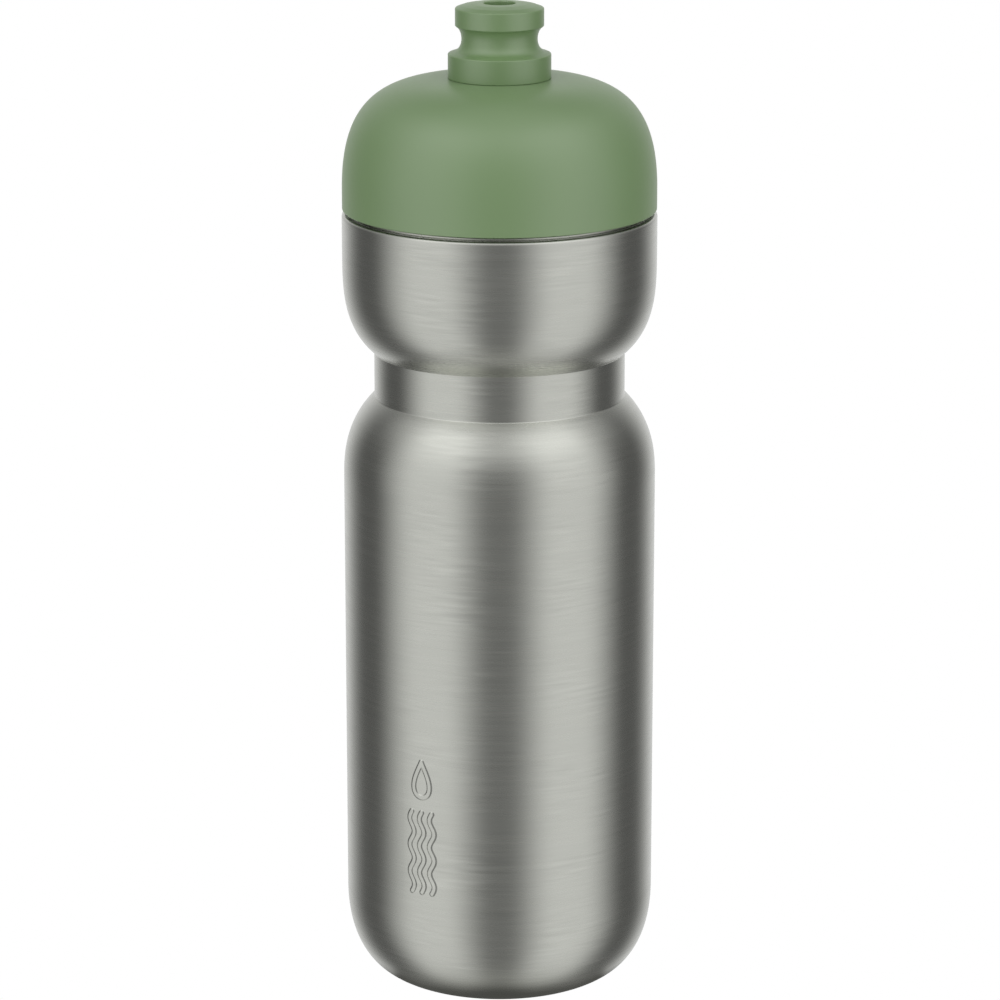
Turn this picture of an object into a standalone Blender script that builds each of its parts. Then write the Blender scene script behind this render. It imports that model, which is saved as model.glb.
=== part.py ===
"""Bicycle water bottle: brushed steel body, screw-on dome cap, push-pull spout.

Run in Blender 4.5 (text editor, or blender --background --python part.py).
Units are metres, +Z up. The origin is the centre of the foot, on the
bottle's axis. The bottle is shown closed: cap screwed home, spout down.
"""

import math

import bmesh
import bpy
from mathutils import Matrix, Vector

MM = 0.001

# ---------------------------------------------------------------- dimensions
# Names ending in _R are radii, in _Z heights above the foot, in _H own heights.
GAP = 0.3 * MM  # working clearance between neighbouring pieces

# Steel body
BODY_R = 37.2 * MM  # outside radius, sized for a bottle cage
SHEET = 0.6 * MM  # sheet thickness
FOOT_R = 22.5 * MM  # outer edge of the flat foot
FOOT_IN_R = 17.6 * MM  # inner edge of the flat foot
RECESS_R = 17.0 * MM  # wall of the recess under the foot
RECESS_EDGE_Z = 0.6 * MM  # lower edge of that wall
RECESS_H = 3.2 * MM
HEEL_H = 22.0 * MM  # height of the rounded heel
HEEL_N = 2.26  # fullness of the heel curve
SHOULDER_Z = 124.7 * MM  # where the lower body starts to draw in
SHOULDER_H = 28.35 * MM
SHOULDER_N = 2.41
WAIST_R = 29.78 * MM  # groove for the cage's tab
BULGE_Z = 179.5 * MM  # where the upper band is at full width again
BULGE_H = 29.98 * MM
BULGE_N = 3.2
LIP_Z = 188.3 * MM  # top of the rolled lip
LIP_RADIUS = 1.15 * MM
LEDGE_Z = 188.85 * MM  # raised ledge inside the lip
LEDGE_R = 35.0 * MM
LEDGE_IN_R = 30.8 * MM  # inner edge of the ledge, where the neck is welded

# Threaded neck
NECK_FLANGE_R = LEDGE_IN_R - GAP
NECK_FLANGE_Z = LEDGE_Z - 0.7 * MM  # underside of the flange
NECK_FLANGE_TOP_Z = NECK_FLANGE_Z + 0.6 * MM
NECK_R = 27.5 * MM
NECK_WALL = 1.3 * MM
NECK_TOP_Z = 203.4 * MM
THREAD_LEAD = 4.0 * MM
THREAD_BEAD_R = 0.95 * MM
THREAD_TURNS = 2.25
NECK_THREAD_Z = 191.6 * MM
CAP_THREAD_R = 29.0 * MM
CAP_THREAD_DROP = 1.75 * MM  # the cap's thread bears on the neck's from below

# Spout
SPOUT_TOP_Z = 237.72 * MM
MOUTH_R = 3.72 * MM
BITE_R = 10.4 * MM
RING_R = 12.1 * MM
SLEEVE_OUT_R = 8.6 * MM
SLEEVE_IN_R = 6.6 * MM
SLEEVE_LIP_R = 5.9 * MM  # narrower bore at the sleeve's lower end
SLEEVE_BOTTOM_Z = 207.2 * MM
GROOVE_R = 7.0 * MM  # floor of the O-ring groove
GROOVE_Z0 = 208.2 * MM
GROOVE_Z1 = 210.2 * MM
O_RING_R = 8.0 * MM  # axis to the centre of the ring's section
O_RING_SECTION_R = 0.7 * MM

# Cap, outer dome
DOME_R = 37.1 * MM
DOME_RIM_Z = 189.3 * MM
DOME_SIDE_Z = 194.0 * MM  # top of the straight side
DOME_TOP_Z = 220.15 * MM
DOME_CROWN_R = 12.15 * MM  # flat crown under the spout's ring
DOME_CROWN_PULL = 17.0 * MM  # length of the curve's upper handle
DOME_SIDE_PULL = 19.4 * MM  # length of its lower handle
DOME_WALL = 2.3 * MM
COLLAR_IN_R = SLEEVE_OUT_R + GAP
COLLAR_OUT_R = 10.4 * MM
COLLAR_CHAMFER = 0.3 * MM
COLLAR_TOP_Z = 224.0 * MM

# Cap, inner part
SKIRT_OUT_R = 30.8 * MM
SKIRT_BOTTOM_Z = 189.65 * MM
SKIRT_OUT_CHAMFER = 0.8 * MM
SKIRT_IN_CHAMFER = 0.4 * MM
INSERT_FLANGE_R = DOME_R - DOME_WALL - GAP
INSERT_FLANGE_T = 1.2 * MM
WEB_Z0 = 205.0 * MM
WEB_Z1 = 206.6 * MM
WEB_MID_Z = (WEB_Z0 + WEB_Z1) / 2
BELOW_WEB_Z = WEB_Z0 - GAP  # faces of the pieces seated below the web
ABOVE_WEB_Z = WEB_Z1 + GAP  # and of those seated above it
WEB_HOLE_R = 8.2 * MM
TUBE_IN_R = 9.0 * MM
TUBE_OUT_R = 10.4 * MM
TUBE_FOOT = 0.6 * MM  # chamfer between tube and web
TUBE_TOP_Z = 217.4 * MM
AIR_SLOT_SIZE = (2.4 * MM, 5.0 * MM, 3.0 * MM)  # radial, tangential, vertical

# Air valve in the web
VENT_AT = 19.0 * MM  # distance of the air valve from the axis
VENT_AZ = math.radians(60.0)
VENT_STEM_HOLE_R = 1.6 * MM
VENT_STEM_R = VENT_STEM_HOLE_R - GAP
VENT_BEAD_R = 2.1 * MM
VENT_RIM_R = 4.9 * MM
VENT_AIR_HOLE_R = 0.7 * MM
VENT_AIR_HOLE_AT = 3.1 * MM  # distance of the air holes from the stem
VENT_DRILL_DEPTH = 4.0 * MM

# Gasket above the neck
GASKET_OUT_R = CAP_THREAD_R - 0.5 * MM
GASKET_IN_R = 26.2 * MM
GASKET_CHAMFER = 0.2 * MM

# Post and plug
POST_R = SLEEVE_LIP_R - GAP
POST_BORE_R = 4.2 * MM
POST_STOP_R = SLEEVE_IN_R - GAP
POST_HUB_R = WEB_HOLE_R - GAP
POST_FLANGE_R = 11.5 * MM
POST_BOTTOM_Z = 203.5 * MM
PIN_R = 2.2 * MM
PIN_TOP_Z = 234.9 * MM
FLOW_WINDOW_SIZE = (16.0 * MM, 3.6 * MM, 5.2 * MM)
FLOW_WINDOW_Z = 223.4 * MM
PLUG_R = MOUTH_R - GAP
PLUG_BOTTOM_Z = 230.8 * MM

SIDES = 40  # facets round a large turned piece
SIDES_SMALL = 24


# ---------------------------------------------------------------- scene
def new_collection(name):
    collection = bpy.data.collections.new(name)
    bpy.context.scene.collection.children.link(collection)
    return collection


for old in list(bpy.data.objects):
    bpy.data.objects.remove(old, do_unlink=True)

parts = new_collection("water_bottle")
cutters = new_collection("cutters")


# ---------------------------------------------------------------- materials
def make_material(name, color, roughness, metallic=0.0):
    mat = bpy.data.materials.new(name)
    mat.use_nodes = True
    bsdf = mat.node_tree.nodes["Principled BSDF"]
    bsdf.inputs["Base Color"].default_value = (*color, 1.0)
    bsdf.inputs["Roughness"].default_value = roughness
    bsdf.inputs["Metallic"].default_value = metallic
    mat.diffuse_color = (*color, 1.0)
    return mat


BRUSHED_STEEL = make_material(
    "brushed_steel", color=(0.42, 0.42, 0.39), roughness=0.32, metallic=1.0
)
PLAIN_STEEL = make_material(
    "plain_steel", color=(0.50, 0.50, 0.48), roughness=0.25, metallic=1.0
)
NECK_STEEL = make_material(
    "neck_steel", color=(0.46, 0.46, 0.44), roughness=0.28, metallic=1.0
)
GREEN_CAP = make_material("green_cap", color=(0.17, 0.26, 0.13), roughness=0.48)
GREEN_SPOUT = make_material("green_spout", color=(0.18, 0.27, 0.14), roughness=0.42)
GREEN_LINER = make_material("green_liner", color=(0.15, 0.23, 0.12), roughness=0.52)
POST_PLASTIC = make_material("post_plastic", color=(0.16, 0.24, 0.12), roughness=0.45)
CLEAR_SILICONE = make_material("clear_silicone", color=(0.72, 0.73, 0.70), roughness=0.40)
GREY_SILICONE = make_material("grey_silicone", color=(0.30, 0.31, 0.29), roughness=0.50)
VENT_SILICONE = make_material("vent_silicone", color=(0.66, 0.67, 0.64), roughness=0.45)
PLUG_SILICONE = make_material("plug_silicone", color=(0.13, 0.19, 0.10), roughness=0.55)


# ---------------------------------------------------------------- profiles
def superellipse(centre, half, fullness, count, start=0.0, end=math.pi / 2):
    """Points of a superellipse quadrant, its parameter running start to end."""
    power = 2.0 / fullness
    points = []
    for i in range(count):
        angle = start + (end - start) * i / (count - 1)
        across = max(math.cos(angle), 0.0) ** power
        along = max(math.sin(angle), 0.0) ** power
        points.append((centre[0] + half[0] * across, centre[1] + half[1] * along))
    return points


def waist_angle(fullness):
    """Parameter at which a body curve has drawn in to the waist."""
    return math.acos((WAIST_R / BODY_R) ** (fullness / 2.0))


def polar(radius, angle, centre=(0.0, 0.0)):
    return (centre[0] + radius * math.cos(angle), centre[1] + radius * math.sin(angle))


def arc(centre, radius, start, end, count):
    """Points on a circle in the profile plane, angles in degrees."""
    return [
        polar(radius, math.radians(start + (end - start) * i / (count - 1)), centre)
        for i in range(count)
    ]


def bezier(start, start_handle, end_handle, end, count):
    """Points along one cubic, and unit normals on the right of its travel."""
    coordinates = list(zip(start, start_handle, end_handle, end))
    points, normals = [], []
    for i in range(count):
        t = i / (count - 1)
        u = 1.0 - t
        x, z = (
            u**3 * p0 + 3 * u * u * t * p1 + 3 * u * t * t * p2 + t**3 * p3
            for p0, p1, p2, p3 in coordinates
        )
        slope_x, slope_z = (
            u * u * (p1 - p0) + 2 * u * t * (p2 - p1) + t * t * (p3 - p2)
            for p0, p1, p2, p3 in coordinates
        )
        size = math.hypot(slope_x, slope_z)
        points.append((x, z))
        normals.append((slope_z / size, -slope_x / size))
    return points, normals


# ---------------------------------------------------------------- pieces
def turned(name, mat, profile, closed=True, sides=SIDES):
    """A turned piece. The profile, (radius, height) pairs, runs outward from
    the top and down the outer side; an open one isn't joined end to end."""
    mesh = bpy.data.meshes.new(name)
    edges = [(i, i + 1) for i in range(len(profile) - 1)]
    if closed:
        edges.append((len(profile) - 1, 0))
    mesh.from_pydata([(radius, 0.0, z) for radius, z in profile], edges, [])
    mesh.materials.append(mat)
    obj = bpy.data.objects.new(name, mesh)
    parts.objects.link(obj)
    screw = obj.modifiers.new("Turn", "SCREW")
    screw.axis = "Z"
    screw.angle = 2.0 * math.pi
    screw.steps = sides
    screw.render_steps = sides
    screw.use_smooth_shade = True
    screw.use_merge_vertices = True
    screw.merge_threshold = 0.01 * MM
    return obj


def thicken(obj):
    """Sheet thickness added on the inner side of an open turned surface."""
    solid = obj.modifiers.new("Sheet", "SOLIDIFY")
    solid.thickness = SHEET
    solid.offset = -1.0
    solid.use_even_offset = True
    solid.use_rim = True


def boolean(obj, tool, operation):
    mod = obj.modifiers.new(tool.name, "BOOLEAN")
    mod.operation = operation
    mod.solver = "EXACT"
    mod.object = tool


def make_tool(name, bm):
    """Turn a bmesh into a hidden object for a boolean, and free it."""
    mesh = bpy.data.meshes.new(name)
    bm.to_mesh(mesh)
    bm.free()
    obj = bpy.data.objects.new(name, mesh)
    cutters.objects.link(obj)
    obj.hide_render = True
    obj.display_type = "WIRE"
    return obj


def cut_block(obj, name, size, centre, turn):
    """Cut a box out of obj; the box is placed, then turned about the Z axis."""
    bm = bmesh.new()
    bmesh.ops.create_cube(bm, size=1.0)
    bmesh.ops.scale(bm, vec=Vector(size), verts=bm.verts)
    bmesh.ops.translate(bm, vec=Vector(centre), verts=bm.verts)
    bmesh.ops.rotate(
        bm, cent=(0, 0, 0), matrix=Matrix.Rotation(turn, 3, "Z"), verts=bm.verts
    )
    boolean(obj, make_tool(name, bm), "DIFFERENCE")


def drill_web(obj, name, radius, centre, sides):
    """Drill a round hole through the web, along Z."""
    bm = bmesh.new()
    bmesh.ops.create_cone(
        bm,
        cap_ends=True,
        segments=sides,
        radius1=radius,
        radius2=radius,
        depth=VENT_DRILL_DEPTH,
    )
    tool = make_tool(name, bm)
    tool.location = (*centre, WEB_MID_Z)
    boolean(obj, tool, "DIFFERENCE")


def add_thread(obj, name, radius, start_z):
    """Join on a round bead along a right-hand helix, tapered at both ends."""
    steps = 24  # points per turn
    end_scale, scale_step = 0.35, 0.22  # bead size at its ends, growth per point
    count = int(round(THREAD_TURNS * steps)) + 1
    curve = bpy.data.curves.new(name, "CURVE")
    curve.dimensions = "3D"
    curve.bevel_depth = THREAD_BEAD_R
    curve.bevel_resolution = 2
    curve.use_fill_caps = True
    spline = curve.splines.new("POLY")
    spline.points.add(count - 1)
    for i, point in enumerate(spline.points):
        x, y = polar(radius, 2.0 * math.pi * i / steps)
        point.co = (x, y, start_z + THREAD_LEAD * i / steps, 1.0)
        from_end = min(i, count - 1 - i)
        point.radius = min(1.0, end_scale + scale_step * from_end)
    path = bpy.data.objects.new(name + "_path", curve)
    cutters.objects.link(path)
    bpy.context.view_layer.update()
    graph = bpy.context.evaluated_depsgraph_get()
    swept = bpy.data.meshes.new_from_object(path.evaluated_get(graph))
    bm = bmesh.new()
    bm.from_mesh(swept)
    bpy.data.meshes.remove(swept)
    bpy.data.objects.remove(path, do_unlink=True)
    bmesh.ops.remove_doubles(bm, verts=bm.verts, dist=0.01 * MM)
    bmesh.ops.recalc_face_normals(bm, faces=bm.faces)
    boolean(obj, make_tool(name, bm), "UNION")


# ---------------------------------------------------------------- steel body
def build_bottle_shell():
    lip_centre = (BODY_R - LIP_RADIUS, LIP_Z - LIP_RADIUS)
    profile = [(LEDGE_IN_R, LEDGE_Z), (LEDGE_R, LEDGE_Z), (LEDGE_R, LIP_Z)]
    profile += arc(lip_centre, LIP_RADIUS, start=90.0, end=0.0, count=4)
    profile += superellipse(
        (0.0, BULGE_Z), (BODY_R, -BULGE_H), BULGE_N, count=6, end=waist_angle(BULGE_N)
    )
    profile += superellipse(
        (0.0, SHOULDER_Z),
        (BODY_R, SHOULDER_H),
        SHOULDER_N,
        count=6,
        start=waist_angle(SHOULDER_N),
        end=0.0,
    )
    profile += superellipse(
        (FOOT_R, HEEL_H), (BODY_R - FOOT_R, -HEEL_H), HEEL_N, count=7
    )
    profile += [(FOOT_IN_R, 0.0), (RECESS_R, RECESS_EDGE_Z), (RECESS_R, RECESS_H)]
    thicken(turned("bottle_shell", BRUSHED_STEEL, profile, closed=False))


def build_base_disc():
    """Pressed pan, set up into the recess and welded at its lower edge."""
    pan_r = RECESS_R - GAP
    profile = [
        (0.0, 2.5 * MM),
        (10.0 * MM, 2.9 * MM),
        (pan_r - 1.1 * MM, 3.3 * MM),
        (pan_r - 0.35 * MM, 3.0 * MM),
        (pan_r, 2.3 * MM),
        (pan_r, 0.9 * MM),
    ]
    thicken(turned("base_disc", PLAIN_STEEL, profile, closed=False))


def build_neck_ring():
    """Flange, wall and rim, with the thread raised on the wall."""
    neck_in = NECK_R - NECK_WALL
    edge = 0.15 * MM  # chamfer of the rim
    profile = [
        (neck_in + edge, NECK_TOP_Z),
        (NECK_R - edge, NECK_TOP_Z),
        (NECK_R, NECK_TOP_Z - 0.2 * MM),
        (NECK_R, NECK_FLANGE_Z + 1.4 * MM),
        (NECK_R + 0.3 * MM, NECK_FLANGE_Z + 0.7 * MM),
        (NECK_FLANGE_R, NECK_FLANGE_TOP_Z),
        (NECK_FLANGE_R, NECK_FLANGE_Z),
        (neck_in + 0.6 * MM, NECK_FLANGE_Z),
        (neck_in, NECK_FLANGE_TOP_Z),
        (neck_in, NECK_TOP_Z - edge),
    ]
    neck_ring = turned("neck_ring", NECK_STEEL, profile)
    add_thread(neck_ring, "neck_thread", NECK_R, NECK_THREAD_Z)


# ---------------------------------------------------------------- cap
def build_cap_dome():
    outside, normals = bezier(
        (DOME_CROWN_R, DOME_TOP_Z),
        (DOME_CROWN_R + DOME_CROWN_PULL, DOME_TOP_Z),
        (DOME_R, DOME_SIDE_Z + DOME_SIDE_PULL),
        (DOME_R, DOME_SIDE_Z),
        count=12,
    )
    inside = [
        (point[0] + normal[0] * DOME_WALL, point[1] + normal[1] * DOME_WALL)
        for point, normal in zip(outside, normals)
    ]
    profile = [
        (COLLAR_IN_R, COLLAR_TOP_Z),
        (COLLAR_OUT_R - COLLAR_CHAMFER, COLLAR_TOP_Z),
        (COLLAR_OUT_R, COLLAR_TOP_Z - COLLAR_CHAMFER),
        (COLLAR_OUT_R, DOME_TOP_Z),
        *outside,
        (DOME_R, DOME_RIM_Z + 0.4 * MM),
        (DOME_R - 0.15 * MM, DOME_RIM_Z + 0.1 * MM),
        (DOME_R - 0.45 * MM, DOME_RIM_Z),
        (DOME_R - DOME_WALL, DOME_RIM_Z),
        *inside[::-2],  # back up, with every other point
        (COLLAR_IN_R, DOME_TOP_Z - DOME_WALL),
    ]
    return turned("cap_dome", GREEN_CAP, profile)


def build_cap_insert():
    """Threaded skirt with an outer flange, a web across it and a central tube."""
    flange_top_z = SKIRT_BOTTOM_Z + INSERT_FLANGE_T
    profile = [
        (TUBE_IN_R, TUBE_TOP_Z),
        (TUBE_OUT_R, TUBE_TOP_Z),
        (TUBE_OUT_R, WEB_Z1 + TUBE_FOOT),
        (TUBE_OUT_R + TUBE_FOOT, WEB_Z1),
        (SKIRT_OUT_R - SKIRT_OUT_CHAMFER, WEB_Z1),
        (SKIRT_OUT_R, WEB_Z1 - SKIRT_OUT_CHAMFER),
        (SKIRT_OUT_R, flange_top_z),
        (INSERT_FLANGE_R, flange_top_z),
        (INSERT_FLANGE_R, SKIRT_BOTTOM_Z),
        (CAP_THREAD_R + SKIRT_IN_CHAMFER, SKIRT_BOTTOM_Z),
        (CAP_THREAD_R, SKIRT_BOTTOM_Z + SKIRT_IN_CHAMFER),
        (CAP_THREAD_R, WEB_Z0),
        (WEB_HOLE_R, WEB_Z0),
        (WEB_HOLE_R, WEB_Z1),
        (TUBE_IN_R, WEB_Z1),
    ]
    insert = turned("cap_insert", GREEN_LINER, profile)
    add_thread(insert, "cap_thread", CAP_THREAD_R, NECK_THREAD_Z - CAP_THREAD_DROP)

    # Air slots through the welded flange, between its weld lands
    slot_centre = (INSERT_FLANGE_R, 0.0, SKIRT_BOTTOM_Z + INSERT_FLANGE_T / 2)
    for i in range(3):
        turn = math.radians(20.0 + 120.0 * i)
        cut_block(insert, f"air_slot_{i + 1}", AIR_SLOT_SIZE, slot_centre, turn)

    # Air valve: a hole for its stem, ringed by three air holes
    vent = polar(VENT_AT, VENT_AZ)
    drill_web(insert, "vent_stem_hole", VENT_STEM_HOLE_R, vent, sides=16)
    for i in range(3):
        at = polar(VENT_AIR_HOLE_AT, math.radians(90.0 + 120.0 * i), vent)
        drill_web(insert, f"vent_air_hole_{i + 1}", VENT_AIR_HOLE_R, at, sides=10)
    return insert


def build_cap_gasket():
    """Flat ring between the neck's rim and the web."""
    bottom_z = NECK_TOP_Z + GAP
    profile = [
        (GASKET_IN_R + GASKET_CHAMFER, BELOW_WEB_Z),
        (GASKET_OUT_R - GASKET_CHAMFER, BELOW_WEB_Z),
        (GASKET_OUT_R, BELOW_WEB_Z - GASKET_CHAMFER),
        (GASKET_OUT_R, bottom_z + GASKET_CHAMFER),
        (GASKET_OUT_R - GASKET_CHAMFER, bottom_z),
        (GASKET_IN_R + GASKET_CHAMFER, bottom_z),
        (GASKET_IN_R, bottom_z + GASKET_CHAMFER),
        (GASKET_IN_R, BELOW_WEB_Z - GASKET_CHAMFER),
    ]
    return turned("cap_gasket", CLEAR_SILICONE, profile)


def build_valve_post():
    """Flange below the web, hub in it, hollow stem with flow windows, and
    the pin that carries the silicone plug."""
    pin_chamfer = 0.3 * MM
    bore_chamfer = 0.5 * MM
    profile = [
        (0.0, PIN_TOP_Z),
        (PIN_R - pin_chamfer, PIN_TOP_Z),
        (PIN_R, PIN_TOP_Z - pin_chamfer),
        (PIN_R, 230.2 * MM),
        (3.6 * MM, 229.6 * MM),
        (POST_R, 228.2 * MM),
        (POST_R, 219.8 * MM),
        (POST_STOP_R, 219.4 * MM),
        (POST_STOP_R, 218.4 * MM),
        (POST_R, 218.2 * MM),
        (POST_R, ABOVE_WEB_Z),
        (POST_HUB_R, ABOVE_WEB_Z),
        (POST_HUB_R, BELOW_WEB_Z),
        (POST_FLANGE_R, BELOW_WEB_Z),
        (POST_FLANGE_R, POST_BOTTOM_Z),
        (POST_BORE_R + bore_chamfer, POST_BOTTOM_Z),
        (POST_BORE_R, POST_BOTTOM_Z + bore_chamfer),
        (POST_BORE_R, 226.8 * MM),
        (0.0, 227.8 * MM),
    ]
    post = turned("valve_post", POST_PLASTIC, profile, closed=False, sides=SIDES_SMALL)
    # Each cut runs right through the stem and opens two windows
    for i in range(2):
        turn = math.radians(45.0 + 90.0 * i)
        centre = (0.0, 0.0, FLOW_WINDOW_Z)
        cut_block(post, f"flow_window_{i + 1}", FLOW_WINDOW_SIZE, centre, turn)
    return post


def build_plug_seal():
    """Silicone cap over the pin, filling the spout's mouth."""
    profile = [
        (0.0, 236.3 * MM),
        (2.6 * MM, 236.25 * MM),
        (3.15 * MM, 236.0 * MM),
        (PLUG_R, 235.5 * MM),
        (PLUG_R, 231.2 * MM),
        (3.1 * MM, PLUG_BOTTOM_Z),
        (PIN_R + GAP, PLUG_BOTTOM_Z),
        (PIN_R + GAP, PIN_TOP_Z + GAP),
        (0.0, PIN_TOP_Z + GAP),
    ]
    return turned("plug_seal", PLUG_SILICONE, profile, closed=False, sides=SIDES_SMALL)


def build_vent_valve():
    """Umbrella valve: snap bead above the web, stem in its hole, thin rim below."""
    profile = [
        (0.0, 208.7 * MM),
        (0.9 * MM, 208.5 * MM),
        (VENT_BEAD_R, 207.4 * MM),
        (VENT_BEAD_R, ABOVE_WEB_Z),
        (VENT_STEM_R, ABOVE_WEB_Z),
        (VENT_STEM_R, BELOW_WEB_Z),
        (VENT_RIM_R, BELOW_WEB_Z),
        (VENT_RIM_R, BELOW_WEB_Z - 0.35 * MM),
        (2.4 * MM, BELOW_WEB_Z - 0.8 * MM),
        (0.9 * MM, BELOW_WEB_Z - 1.1 * MM),
        (0.0, BELOW_WEB_Z - 1.15 * MM),
    ]
    valve = turned("vent_valve", VENT_SILICONE, profile, closed=False, sides=SIDES_SMALL)
    valve.location = (*polar(VENT_AT, VENT_AZ), 0.0)
    return valve


# ---------------------------------------------------------------- spout
def build_spout():
    """Bite head, narrow neck and ring, with a sleeve reaching into the cap."""
    ring_z = DOME_TOP_Z + GAP
    ring_chamfer = 0.25 * MM
    pocket_r = COLLAR_OUT_R + 0.35 * MM  # pocket that covers the dome's collar
    pocket_z = COLLAR_TOP_Z + 0.4 * MM
    sleeve_chamfer = 0.3 * MM
    profile = [
        (MOUTH_R, SPOUT_TOP_Z - 0.25 * MM),
        (MOUTH_R + 0.3 * MM, SPOUT_TOP_Z),
        (6.4 * MM, 237.58 * MM),
        (8.8 * MM, 237.2 * MM),
        (10.0 * MM, 236.86 * MM),
        (BITE_R, 236.4 * MM),
        (BITE_R, 232.45 * MM),
        (10.2 * MM, 232.0 * MM),
        (9.75 * MM, 231.6 * MM),
        (9.3 * MM, 230.7 * MM),
        (9.1 * MM, 229.3 * MM),
        (9.3 * MM, 227.9 * MM),
        (9.75 * MM, 227.1 * MM),
        (10.6 * MM, 226.45 * MM),
        (11.75 * MM, 226.1 * MM),
        (RING_R, 225.7 * MM),
        (RING_R, ring_z + ring_chamfer),
        (RING_R - ring_chamfer, ring_z),
        (pocket_r, ring_z),
        (pocket_r, pocket_z),
        (SLEEVE_OUT_R, pocket_z),
        (SLEEVE_OUT_R, GROOVE_Z1),
        (GROOVE_R, GROOVE_Z1),
        (GROOVE_R, GROOVE_Z0),
        (SLEEVE_OUT_R, GROOVE_Z0),
        (SLEEVE_OUT_R, SLEEVE_BOTTOM_Z + sleeve_chamfer),
        (SLEEVE_OUT_R - sleeve_chamfer, SLEEVE_BOTTOM_Z),
        (SLEEVE_LIP_R, SLEEVE_BOTTOM_Z),
        (SLEEVE_LIP_R, 210.9 * MM),
        (SLEEVE_IN_R, 211.3 * MM),
        (SLEEVE_IN_R, 231.4 * MM),
        (MOUTH_R, 234.0 * MM),
    ]
    return turned("spout", GREEN_SPOUT, profile)


def build_spout_o_ring():
    centre = (O_RING_R, (GROOVE_Z0 + GROOVE_Z1) / 2)
    profile = arc(centre, O_RING_SECTION_R, start=90.0, end=-225.0, count=8)
    return turned("spout_o_ring", GREY_SILICONE, profile, sides=SIDES_SMALL)


# ---------------------------------------------------------------- assembly
def axis_empty(name, z):
    empty = bpy.data.objects.new(name, None)
    empty.empty_display_type = "SINGLE_ARROW"
    empty.empty_display_size = 0.02
    empty.location = (0.0, 0.0, z)
    parts.objects.link(empty)
    bpy.context.view_layer.update()  # so that hold() reads its true place
    return empty


def hold(obj, empty):
    """Parent obj to the empty without moving it."""
    obj.parent = empty
    obj.matrix_parent_inverse = empty.matrix_world.inverted()


cap_axis = axis_empty("cap_axis", NECK_TOP_Z)
spout_axis = axis_empty("spout_axis", DOME_TOP_Z)

build_bottle_shell()
build_base_disc()
build_neck_ring()

for build in (
    build_cap_dome,
    build_cap_insert,
    build_cap_gasket,
    build_valve_post,
    build_plug_seal,
    build_vent_valve,
):
    hold(build(), cap_axis)

for build in (build_spout, build_spout_o_ring):
    hold(build(), spout_axis)
hold(spout_axis, cap_axis)
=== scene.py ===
"""A bicycle water bottle: a brushed steel body with a raised motif, a threaded
neck, a green domed cap with a drinking spout, and a plain white studio.

The bottle stands upright on z = 0 with its axis on Z; the camera is on the -Y
side. Pieces are drawn in millimetres and scaled to metres as meshes. An outline
is a list of (radius, height) points in the half plane beside the axis, with a
third number where a corner is rounded.
"""

import math

import bmesh
import bpy
import numpy as np
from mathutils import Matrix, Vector


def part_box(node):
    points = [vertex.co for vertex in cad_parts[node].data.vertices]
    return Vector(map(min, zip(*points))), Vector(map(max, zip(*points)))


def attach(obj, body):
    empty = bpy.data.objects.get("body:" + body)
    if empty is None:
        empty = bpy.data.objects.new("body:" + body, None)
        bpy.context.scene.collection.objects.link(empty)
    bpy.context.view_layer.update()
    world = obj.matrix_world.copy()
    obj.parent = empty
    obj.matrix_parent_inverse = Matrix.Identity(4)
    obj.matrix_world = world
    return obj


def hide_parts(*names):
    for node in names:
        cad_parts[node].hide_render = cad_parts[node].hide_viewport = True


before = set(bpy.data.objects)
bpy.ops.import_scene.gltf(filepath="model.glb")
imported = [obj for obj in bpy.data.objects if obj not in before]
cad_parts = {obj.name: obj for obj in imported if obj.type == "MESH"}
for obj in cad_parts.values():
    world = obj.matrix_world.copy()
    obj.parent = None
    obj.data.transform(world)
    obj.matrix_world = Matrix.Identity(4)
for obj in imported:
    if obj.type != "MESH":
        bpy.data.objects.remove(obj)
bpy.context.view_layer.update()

MM = 0.001
TAU = 2.0 * math.pi


def extent(node):
    """The low and high corners of a CAD node's box, in millimetres."""
    return [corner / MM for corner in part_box(node)]


# ------------------------------------------------------------------ dimensions
_, shell_high = extent("bottle_shell")
dome_low, dome_high = extent("cap_dome")
spout_low, spout_high = extent("spout")
neck_low, neck_high = extent("neck_ring")
insert_low, insert_high = extent("cap_insert")
gasket_low, gasket_high = extent("cap_gasket")
plug_low, plug_high = extent("plug_seal")
post_low, post_high = extent("valve_post")
vent_low, vent_high = extent("vent_valve")
ring_low, ring_high = extent("spout_o_ring")

# Body
BODY_R = shell_high.x
SHEET = 0.6
LEDGE_Z, LEDGE_IN_R, LEDGE_R = shell_high.z, 30.8, 35.0
LIP_Z, LIP_RADIUS = 188.33, 1.35
CHANNEL_WIDTH, CHANNEL_DEPTH = 0.34, 0.22
WAIST_R = 29.78
BULGE_Z, BULGE_DROP, BULGE_POWER = 179.5, 29.98, 3.2
SHOULDER_Z, SHOULDER_RISE, SHOULDER_POWER = 124.7, 28.35, 2.41
SIDE_ROWS = (118.0, 105.0, 90.0, 78.0, 70.0)  # heights down the straight side
HEEL_H, HEEL_POWER = 22.0, 2.26
FOOT_R, FOOT_IN_R = 22.5, 17.6
RECESS_R, RECESS_H = 17.0, 3.2

# Raised motif. Azimuths run from -Y towards +X.
MOTIF_AZIMUTH = math.radians(-29.7)
PATCH_LEFT, PATCH_RIGHT = math.radians(-37.5), math.radians(-22.0)
PATCH_LOW, PATCH_HIGH = 28.0, 66.0
MOTIF_HEIGHT, MOTIF_STROKE, MOTIF_EDGE = 0.2, 0.56, 0.17  # stroke is a half width

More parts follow.
